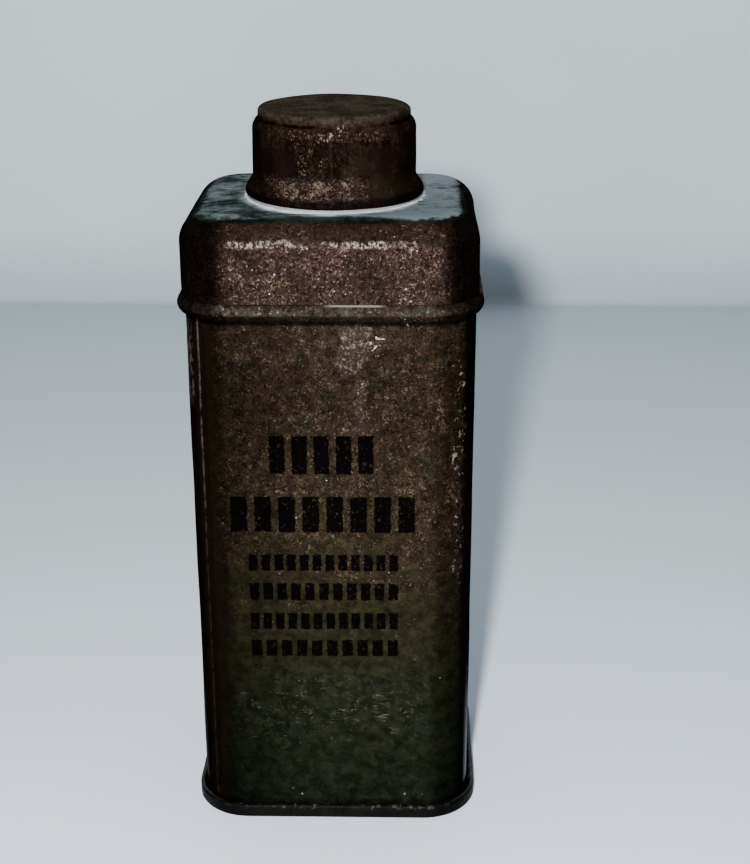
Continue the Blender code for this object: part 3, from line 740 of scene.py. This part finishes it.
def rusted_breast():
    """A fleck-covered skirt under a brown shoulder, with painted shade at its corners and sides
    and a painted highlight line, and a dusty dark plate.
    """
    g = Graph("rusted_breast")
    colour, grain = dark_rust(g)
    broad = g.noise(0.16, 4.0, 0.6, shift=3.0)
    front = g.ramp(g.y, -2.0, -12.0, 0.6, 1.0)
    ragged = g.add(g.z, g.sway(g.noise(0.5, 3.0, 0.65, shift=35.0), 1.6))
    skirt = g.ramp(ragged, 98.5, 97.9)
    amount = g.times(skirt, g.ramp(broad, 0.34, 0.58, 0.35, 0.9))
    # Painted shade: fewer flecks round the front corners
    amount = g.times(amount, g.corner_shade(14.7, 19.0, 0.0, 0.9), front)
    tan = g.patches(0.48, 0.62, 0.3, 3.0, shift=36.0)
    tone = g.mix(tan, (0.104, 0.063, 0.052), (0.108, 0.08, 0.049))
    warm = g.mix(g.ramp(grain, 0.3, 0.6), (0.0048, 0.0025, 0.002), (0.0275, 0.0157, 0.0116))
    colour = g.over(colour, amount, 0.6, warm)
    colour, lifted = g.speckle(colour, amount, tone, 0.2, 2.7)
    # A painted highlight line where the shoulder starts to bend
    line = g.near(ragged, 98.1, 0.75, 0.15)
    unbroken = g.near(g.x, 5.0, 6.0, 3.0)
    broken = g.ramp(g.noise(0.25, 2.0, shift=34.0), 0.44, 0.56, 0.1, 0.9)
    line = g.times(line, g.most(broken, unbroken))
    line = g.times(line, g.patches(0.44, 0.6, 2.2, 3.0, 0.78, shift=37.0))
    line = g.times(line, g.ramp(g.size(g.add(g.x, 1.0)), 17.0, 12.0), g.ramp(g.y, -13.0, -16.0))
    colour = g.over(colour, line, 0.9, (0.28, 0.22, 0.19))
    # The shoulder, browner and less rubbed
    shoulder = g.times(g.ramp(ragged, 98.4, 99.2), g.patches(0.38, 0.54, 0.35, 3.0, shift=38.0))
    colour = g.over(colour, shoulder, 0.5, (0.01, 0.007, 0.003))
    scattered = g.times(g.ramp(ragged, 98.4, 99.2), g.ramp(broad, 0.4, 0.6, 0.25, 0.8))
    scattered = g.times(scattered, g.ramp(g.y, -12.0, -15.0))
    colour, high_lifted = g.speckle(colour, scattered, (0.06, 0.042, 0.03), 0.06, 2.8)
    pits = g.patches(0.46, 0.39, 1.7, 3.0, 0.65, shift=44.0)
    colour = g.over(colour, pits, 0.7, (0.004, 0.0022, 0.0019))
    # The plate
    rough_edge = g.add(g.z, g.sway(g.noise(0.8, 3.0, 0.65, shift=39.0), 1.0))
    plate = g.ramp(rough_edge, 100.7, 101.0)
    paint = g.mix(g.ramp(broad, 0.42, 0.56), (0.0022, 0.0034, 0.003), (0.007, 0.01, 0.0078))
    colour = g.mix(plate, colour, paint)
    # Painted shade round the front corners, not on the plate
    colour = g.tint(colour, g.most(g.corner_shade(13.6, 19.2, 0.16, 1.0), plate))
    # Painted shade on the shoulder's sides
    side = g.times(g.ramp(g.size(g.x), 18.6, 20.0), g.ramp(g.z, 98.4, 99.6))
    side = g.times(side, g.ramp(plate, 0.0, 1.0, 1.0, 0.0))
    colour = g.over(colour, side, 0.9, (0.0022, 0.002, 0.0016))
    powder, thickest = settled_powder(g, g.ramp(rough_edge, 101.1, 101.45))
    dust = g.mix(g.times(thickest, thickest), (0.092, 0.112, 0.118), (0.5, 0.52, 0.54))
    colour = g.mix(powder, colour, dust)
    lift = g.add(g.times(grain, 0.6), g.times(g.most(lifted, high_lifted), 0.3))
    g.bumps(0.5, 0.15, g.add(lift, g.times(powder, 0.5)))
    rough = g.most(g.ramp(grain, 0.35, 0.65, 0.66, 0.5), g.times(powder, 0.95))
    return g.finish(colour, rough, 0.0, 0.0)


def base_skin():
    g = Graph("scuffed_base_rim")
    grain = g.noise(2.2, 4.0, 0.7, shift=8.0)
    broad = g.noise(0.3, 3.0, 0.6, shift=1.0)
    colour = g.bands(
        g.add(g.times(grain, 0.5), g.times(broad, 0.5)),
        (0.36, (0.0016, 0.0015, 0.0013)),
        (0.5, (0.0028, 0.0027, 0.0024)),
        (0.62, (0.0056, 0.0047, 0.004)),
    )
    worn = g.times(g.ramp(g.z, 1.6, 2.3), g.patches(0.56, 0.64, 0.9, 4.0, 0.7, shift=3.0))
    colour = g.over(colour, worn, 0.6, (0.07, 0.06, 0.05))
    # Painted shade round the front corners
    colour = g.tint(colour, g.corner_shade(14.0, 19.0, 0.25))
    g.bumps(0.5, 0.12, grain)
    return g.finish(colour, g.ramp(grain, 0.35, 0.65, 0.38, 0.6), 0.0, 0.03)


def bare_tinplate():
    g = Graph("dull_tinplate")
    grain = g.noise(0.8, 5.0, 0.65, shift=2.0)
    fine = g.noise(4.0, 2.0, 0.6, stretch=(1, 1, 0.2), shift=4.0)
    colour = g.bands(
        grain,
        (0.34, (0.1, 0.085, 0.07)),
        (0.52, (0.23, 0.22, 0.2)),
        (0.68, (0.36, 0.35, 0.33)),
    )
    rust = g.patches(0.54, 0.64, 0.45, 5.0, 0.7, shift=9.0)
    colour = g.over(colour, rust, 0.8, (0.06, 0.03, 0.016))
    powder = g.patches(0.5, 0.66, 0.6, 5.0, 0.7, shift=19.0)
    colour = g.over(colour, powder, 0.6, (0.44, 0.45, 0.45))
    g.bumps(0.35, 0.06, g.add(fine, g.times(grain, 0.5)))
    metal = g.times(g.ramp(rust, 0.0, 1.0, 0.9, 0.1), g.ramp(powder, 0.0, 1.0, 1.0, 0.1))
    return g.finish(colour, g.ramp(g.most(rust, powder), 0.0, 1.0, 0.34, 0.8), metal)


def pulpboard():
    g = Graph("waxed_pulpboard")
    fibres = g.noise(1.3, 5.0, 0.7, stretch=(1, 0.35, 1), shift=5.0)
    colour = g.bands(
        fibres, (0.3, (0.26, 0.19, 0.11)), (0.5, (0.42, 0.34, 0.22)), (0.7, (0.55, 0.47, 0.34))
    )
    g.bumps(0.4, 0.08, fibres)
    return g.finish(colour, g.ramp(fibres, 0.3, 0.7, 0.55, 0.85))


def dull_solder():
    g = Graph("dull_solder")
    grain = g.noise(1.4, 4.0, 0.6, shift=7.0)
    colour = g.bands(grain, (0.35, (0.2, 0.2, 0.2)), (0.65, (0.42, 0.42, 0.43)))
    g.bumps(0.4, 0.1, grain)
    return g.finish(colour, g.ramp(grain, 0.35, 0.65, 0.35, 0.6), 0.9)


def seam_compound():
    g = Graph("seam_compound")
    grain = g.noise(3.0, 3.0, 0.6)
    colour = g.bands(grain, (0.35, (0.02, 0.02, 0.02)), (0.65, (0.05, 0.048, 0.045)))
    g.bumps(0.3, 0.05, grain)
    return g.finish(colour, g.ramp(grain, 0.35, 0.65, 0.7, 0.9))


def loose_powder():
    g = Graph("loose_powder")
    grain = g.noise(3.2, 5.0, 0.75, shift=6.0)
    colour = g.bands(
        grain, (0.34, (0.4, 0.42, 0.43)), (0.5, (0.54, 0.56, 0.58)), (0.64, (0.66, 0.67, 0.68))
    )
    colour = g.tint(colour, g.ramp(g.y, 4.0, -11.0, 0.35, 1.0))
    g.bumps(0.6, 0.12, grain)
    return g.finish(colour, g.ramp(grain, 0.3, 0.7, 0.85, 1.0))


# Pieces


def seam_columns():
    """(station, depth of the joggle from 0 to 1) of the wrapped sheet, from the tongue's free end
    round to the edge that lies over it."""
    side = Vector((-(HALF_WIDTH - CORNER), -(HALF_DEPTH - CORNER)))
    slit = math.degrees(0.12 / CORNER)
    columns = [((side, SEAM_TURN - reach), 1.0) for reach in (34.0, 22.0, 12.0, 4.0)]
    columns.append(((side, SEAM_TURN + slit), 1.0))
    for share, depth in ((0.25, 0.93), (0.5, 0.6), (0.75, 0.2), (1.0, 0.0)):
        columns.append(((side, SEAM_TURN + slit + 9.0 * share), depth))
    round_tin = stations()
    first = next(i for i, (_, angle) in enumerate(round_tin) if angle > SEAM_TURN + 12.0)
    ordered = round_tin[first:] + round_tin[:first]
    last = next(i for i, (_, angle) in enumerate(ordered) if SEAM_TURN - 8.0 < angle < SEAM_TURN)
    columns += [(station, 0.0) for station in ordered[:last]]
    columns += [((side, SEAM_TURN - back), 0.0) for back in (6.5, 3.0, 1.4, slit)]
    return columns


def body_profile():
    wall, hook = -SHEET / 2, 0.4
    line = run((wall, 93.0), (wall, SKIRT_FOOT), 0.8)
    steps = 12
    for i in range(steps + 1):
        turn = math.pi * i / steps
        line.append((wall + 1.2 * math.sin(turn) ** 1.25, BEAD_MIDDLE + 1.3 * math.cos(turn)))
    line += run((wall, 86.0), (wall, 3.4), 1.4)
    line += run((wall, 3.4), (wall, 1.2), 0.6)
    line += arc((wall + hook, 0.95), hook, 180, 360, 6)
    line.append((wall + 2 * hook, 1.6))
    return line


def tin_body(material):
    line = body_profile()
    faces = (side_of(line, SHEET / 2), side_of(line, -SHEET / 2))
    columns = seam_columns()
    tongue = next(i for i, (station, _) in enumerate(columns) if station[1] > SEAM_TURN)
    bm = bmesh.new()

    def joggled(height):
        return 3.5 < height < 85.6

    grid = {}
    for side, points in enumerate(faces):
        for row, (offset, height) in enumerate(points):
            for column, (station, depth) in enumerate(columns):
                drop = (SHEET + GAP) * depth if joggled(line[row][1]) else 0.0
                if not depth and station[1] < SEAM_TURN and station[1] > SEAM_TURN - 4:
                    drop = -0.05
                place = wall_point(station, offset - drop, height)
                place += outward(math.radians(station[1])) * dents(place)
                grid[side, row, column] = bm.verts.new(place)
    cells = [
        (row, column)
        for row in range(len(line) - 1)
        for column in range(len(columns) - 1)
        if column >= tongue or (joggled(line[row][1]) and joggled(line[row + 1][1]))
    ]
    used = {}
    for row, column in cells:
        ring = [(row, column), (row, column + 1), (row + 1, column + 1), (row + 1, column)]
        for side in (0, 1):
            bm.faces.new([grid[side, r, c] for r, c in ring])
        for a, b in zip(ring, ring[1:] + ring[:1]):
            used.setdefault(frozenset((a, b)), []).append((a, b))
    for ends in used.values():
        if len(ends) == 1:
            a, b = ends[0]
            bm.faces.new([grid[0, *a], grid[0, *b], grid[1, *b], grid[1, *a]])
    loose = [vert for vert in bm.verts if not vert.link_faces]
    bmesh.ops.delete(bm, geom=loose, context="VERTS")
    return piece("tin_body", bm, material, "tin", "body_sleeve")


def tin_base(material):
    cover = -2 * SHEET - GAP + SHEET / 2
    seaming = 3 * (GAP + SHEET) - SHEET / 2
    middle, panel, curl = SHEET / 2, 2.9, 0.4
    line = run((cover - 2.4, panel), (cover - curl, panel), 0.8)
    line += arc((cover - curl, panel - curl), curl, 90, 0, 6)
    line += arc((cover + curl, middle + curl), curl, 180, 270, 6)
    line += arc((seaming - curl, middle + curl), curl, 270, 360, 6)
    line += arc((seaming - curl, 2.4 - middle - curl), curl, 0, 180, 10)
    line.append((seaming - 2 * curl, 1.1))
    bm = bmesh.new()
    round_tin = stations()
    loops = []
    for offset, height in sheet_outline(line):
        loop = swept_loop(bm, (offset, height), round_tin, bent=False)
        for vert in loop:
            if height > 0.3:
                way = Vector((vert.co.x, vert.co.y, 0)).normalized()
                vert.co += way * 0.07 * noise.noise(vert.co * 0.35)
                vert.co.z += 0.06 * noise.noise(vert.co * 0.22) * min(1.0, height / 2)
        loops.append(loop)
    bridge_all(bm, loops)
    close_ends(bm, loops)
    return piece("tin_base", bm, material, "tin", "base_end")


def tin_breast(material):
    skirt = 0.2 + SHEET / 2
    bend = 4.7 - SHEET / 2
    line = run((skirt, SKIRT_FOOT), (skirt, 96.9), 0.7)
    line += arc((skirt - bend, 96.9), bend, 0, 90, 16)
    bm = bmesh.new()
    round_tin = stations()
    half = len(line)
    loops = [swept_loop(bm, point, round_tin) for point in sheet_outline(line)]
    bridge_sheet(bm, loops, half)
    rims = []
    for loop in (loops[half - 1], loops[half]):
        before = loop
        steps = 9
        for i in range(1, steps + 1):
            share = i / steps
            places = []
            for vert in loop:
                way = Vector((vert.co.x - NECK_SHIFT, vert.co.y, 0)).normalized() * HOLE_IN_BREAST
                place = vert.co.lerp(Vector((way.x + NECK_SHIFT, way.y, vert.co.z)), share)
                sag = 0.1 * math.sin(math.pi * share) * (1 + noise.noise(place * 0.1))
                places.append(place + Vector((0, 0, -sag)))
            ring = add_loop(bm, places)
            bridge(bm, before, ring)
            before = ring
        rims.append(before)
    bridge(bm, *rims)
    return piece("tin_breast", bm, material, "tin", "breast")


def tin_cap(material):
    wall, disc, mouth = 12.66 - SHEET / 2, 11.78 - SHEET / 2, MOUTH_RADIUS - SHEET / 2
    top, edge, curl = CAP_TOP - SHEET / 2, 0.62, 0.24
    line = run((0.35, top), (disc - edge, top), 0.8)
    line += arc((disc - edge, top - edge), edge, 90, 0, 7)
    line += run((disc, 114.0), (disc, 113.45), 0.3)
    line += [(disc, 113.4), (disc + 0.16, 113.25), (disc + 0.5, 112.85)]
    line += [(disc + 0.74, 112.4), (wall - 0.03, 112.0)]
    line += run((wall, 111.7), (wall, 104.9), 0.5)
    flare = mouth - wall
    for i in range(9):
        share = i / 8
        out = share * share * (3 - 2 * share)
        line.append((wall + flare * out, 104.9 - 2.5 * share))
    line += arc((mouth - curl, 102.1), curl, 0, -180, 8)
    bm = bmesh.new()
    loops = turned(bm, sheet_outline(line), 168, wobble=0.16)
    close_ends(bm, loops)
    move_to_neck(bm, CAP_RISE)
    made = piece("tin_cap", bm, material, "cap", "cap_shell")
    for vert in made.data.vertices:
        place = vert.co / MM
        way = Vector((place.x, place.y, 0))
        if way.length < 1:
            continue
        way.normalize()
        out = -0.32 * bump(place, (-9.0, -8.5, 112.0), (4.0, 4.0, 1.2))
        out -= 0.22 * bump(place, (10.5, -6.5, 108.0), (3.0, 4.0, 3.4))
        out -= 0.2 * bump(place, (2.0, 12.6, 109.0), (5.0, 3.0, 3.0))
        vert.co += way * out * MM
        if place.z > 114.8:
            vert.co.z += 0.06 * MM * noise.noise(place * 0.18)
    return made


def tin_neck(material):
    middle, bend, shoulder = SHEET / 2, 0.5, 1.875
    wall = 12.2 - middle
    flange = PLATE - SHEET - GAP - middle
    line = run((14.6, flange), (wall + bend, flange), 0.5)
    line += arc((wall + bend, flange + bend), bend, 270, 180, 6)
    line += run((wall, 102.4), (wall, 111.2), 0.8)
    line += arc((wall - shoulder, 111.3), shoulder, 0, 90, 10)
    line.append((9.2, 113.3 - middle))
    bm = bmesh.new()
    loops = turned(bm, sheet_outline(line), 144, wobble=0.03)
    bridge(bm, loops[-1], loops[0])
    move_to_neck(bm)
    return piece("tin_neck", bm, material, "tin", "neck")


def hole_spots():
    """The middles of the sifter's 12 holes, in two rings: (how many, ring radius, first angle)."""
    spots = []
    for count, radius, first in ((4, 3.2, 45.0), (8, 6.9, 22.5)):
        for i in range(count):
            turn = math.radians(first + 360.0 * i / count)
            spots.append((radius * math.cos(turn), radius * math.sin(turn)))
    return spots


def tin_sifter(material):
    """The sifter cup. Its holes are pressed through, so each has a small rolled lip."""
    bend, middle, shoulder = 1.425, 10.2, 111.3
    line = run((middle + bend, 109.0), (middle + bend, shoulder), 0.6)
    line += arc((middle, shoulder), bend, 0, 90, 8)
    line += run((middle - 0.6, shoulder + bend), (9.4, shoulder + bend), 0.4)
    bm = bmesh.new()
    half = len(line)
    loops = [add_loop(bm, circle(*point, 96)) for point in sheet_outline(line)]
    bridge_sheet(bm, loops, half)
    lips = {}
    for loop in (loops[half - 1], loops[half]):
        height = loop[0].co.z
        edges = [bm.edges.get((loop[i - 1], loop[i])) for i in range(len(loop))]
        for spot in hole_spots():
            ring = add_loop(bm, circle(LIP_RADIUS, height, 24, spot))
            edges += [bm.edges.new((ring[i - 1], ring[i])) for i in range(len(ring))]
            lips.setdefault(spot, []).append(ring)
        bmesh.ops.triangle_fill(bm, use_beauty=True, edges=edges)
    for spot, (under, over) in lips.items():
        for ring, drop in ((under, -0.16), (over, -0.1)):
            centre = Vector((*spot, 0))
            places = []
            for vert in ring:
                edge = Vector((vert.co.x, vert.co.y, 0))
                places.append(centre.lerp(edge, 0.88) + Vector((0, 0, vert.co.z + drop)))
            inner = add_loop(bm, places)
            bridge(bm, ring, inner)
            lips[spot].append(inner)
        bridge(bm, lips[spot][2], lips[spot][3])
    move_to_neck(bm)
    return piece("tin_sifter", bm, material, "tin", "sifter_plate")


def tin_liner(material):
    """A pulpboard disc with a rubbed edge, and the ring that the neck has pressed into it."""
    radius, top, thick, edge = 11.33, 114.6, 1.15, 0.25
    under = top - thick
    line = run((0.4, top), (radius - edge, top), 0.9)
    line += arc((radius - edge, top - edge), edge, 90, 0, 4)
    line += arc((radius - edge, under + edge), edge, 0, -90, 4)
    for i in range(12):
        at = radius - 0.5 - i * 0.8
        line.append((at, under + 0.06 * math.exp(-(((at - 9.9) / 0.5) ** 2))))
    line.append((0.4, under))
    bm = bmesh.new()
    loops = turned(bm, line, 120, wobble=0.04)
    close_ends(bm, loops)
    move_to_neck(bm, CAP_RISE)
    return piece("tin_liner", bm, material, "cap", "cap_liner")


def powder_ring(material):
    """Powder caked round the cap's foot. Where it is thin it dips under the plate."""
    bm = bmesh.new()
    steps = 220
    radii = [12.7 + 0.15 * i for i in range(15)]
    loops = []
    for radius in radii:
        places = []
        for i in range(steps):
            way = outward(math.tau * i / steps)
            near = way * radius
            lumps = 0.1 * noise.noise(near * 0.5)
            lumps += 0.08 * noise.noise(near * 1.5 + Vector((3, 1, 2)))
            reach = 0.2 * math.exp(-(((radius - 13.8) / 0.6) ** 2)) - 0.16
            front = 0.06 * max(0.0, -way.y)
            places.append(near + Vector((0, 0, PLATE - 0.06 + lumps + reach + front)))
        loops.append(add_loop(bm, places))
    bridge_all(bm, loops)
    low = [
        add_loop(bm, [Vector((v.co.x, v.co.y, PLATE - 0.24)) for v in loop])
        for loop in (loops[-1], loops[0])
    ]
    bridge_all(bm, [loops[-1], *low, loops[0]])
    move_to_neck(bm)
    return piece("powder_ring", bm, material, "tin", None)


# Stage


def stage_material():
    """Pale and plain, with painted light: a little cooler and paler towards the camera."""
    g = Graph("pale_table")
    cloud = g.noise(0.009, 3.0, 0.5)
    # Painted light: the floor is paler and cooler towards the camera
    colour = g.bands(
        g.add(g.y, g.sway(cloud, 60.0)),
        (-160.0, (0.8, 0.91, 1.0)),
        (-20.0, (0.76, 0.83, 0.94)),
        (120.0, (0.64, 0.69, 0.72)),
        (260.0, (0.52, 0.58, 0.61)),
    )
    wall = g.ramp(g.z, 2.0, 30.0)
    colour = g.mix(wall, colour, g.tint((0.7, 0.77, 0.82), g.ramp(cloud, 0.3, 0.7, 0.96, 1.02)))
    return g.finish(colour, 0.75, 0.0, 0.2)


def stage():
    """A pale table that meets a pale wall behind the tin."""
    seam, reach, height, radius = 0.288, 1.6, 1.6, 0.004
    bm = bmesh.new()
    line = [(-2.2, 0.0), (-0.6, 0.0), (0.0, 0.0), (seam - radius, 0.0)]
    for i in range(1, 9):
        turn = math.pi / 2 * i / 8
        line.append((seam - radius + radius * math.sin(turn), radius - radius * math.cos(turn)))
    line += [(seam, 0.3), (seam, height)]
    rows = [[bm.verts.new((x, y, z)) for x in (-reach, 0.0, reach)] for y, z in line]
    for first, second in zip(rows, rows[1:]):
        for i in range(2):
            bm.faces.new((first[i], first[i + 1], second[i + 1], second[i]))
    floor = put_mesh("table_and_wall", bm, stage_material())
    return floor


def area_light(name, place, target, size, power, colour):
    data = bpy.data.lights.new(name, "AREA")
    data.shape = "DISK"
    data.size = size
    data.energy = power
    data.color = colour
    made = put(name, data)
    made.location = place
    made.rotation_mode = "QUATERNION"
    way = Vector(target) - Vector(place)
    made.rotation_quaternion = way.to_track_quat("-Z", "Y")
    return made


def fill_lights(floor):
    """Two soft lights from behind, for the tin only: its far side would otherwise be black."""
    lit = bpy.data.collections.new("lit_by_fill")
    for thing in bpy.data.objects:
        if thing.type == "MESH" and thing != floor:
            lit.objects.link(thing)
    for side in (-1, 1):
        place = (0.17 * side, 0.25, 0.2)
        made = area_light("fill", place, (0.0, 0.0, 0.06), 0.16, 1.5, (0.93, 0.97, 1.0))
        made.visible_camera = False
        made.light_linking.receiver_collection = lit


def lights():
    area_light("key", (-0.019, -0.349, 0.208), (0.0, 0.0, 0.055), 0.02, 3.9, (0.98, 0.985, 0.985))
    area_light("overhead", (0.0, -0.1, 0.95), (0.0, 0.0, 0.0), 0.9, 1.85, (0.8, 0.94, 1.0))
    world = bpy.data.worlds.new("studio")
    world.use_nodes = True
    background = world.node_tree.nodes["Background"]
    background.inputs["Color"].default_value = (0.86, 0.95, 1.0, 1.0)
    background.inputs["Strength"].default_value = 0.055
    bpy.context.scene.world = world


def camera():
    data = bpy.data.cameras.new("camera")
    data.sensor_width = 36.0
    data.lens = 64.5
    data.clip_start = 0.01
    data.clip_end = 20.0
    made = put("camera", data)
    turn = Matrix.Rotation(math.radians(1.336), 4, "Z")
    tilt = Matrix.Rotation(math.radians(90.0 - 20.99), 4, "X")
    roll = Matrix.Rotation(-0.0035, 4, "Z")
    made.matrix_world = Matrix.Translation((0.01204, -0.23904, 0.15336)) @ turn @ tilt @ roll
    bpy.context.scene.camera = made


def main():
    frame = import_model()
    camera()
    lights()
    floor = stage()
    tinplate = bare_tinplate()
    tin_body(body_paint())
    tin_base(base_skin())
    tin_breast(rusted_breast())
    tin_cap(rusted_cap())
    tin_neck(tinplate)
    tin_sifter(tinplate)
    tin_liner(pulpboard())
    powder_ring(loose_powder())
    solder = dull_solder()
    for node, material in (
        ("side_seam_solder", solder),
        ("neck_solder", solder),
        ("base_seam_sealant", seam_compound()),
    ):
        for slot in frame["nodes"][node].material_slots:
            slot.material = material
    fill_lights(floor)


main()
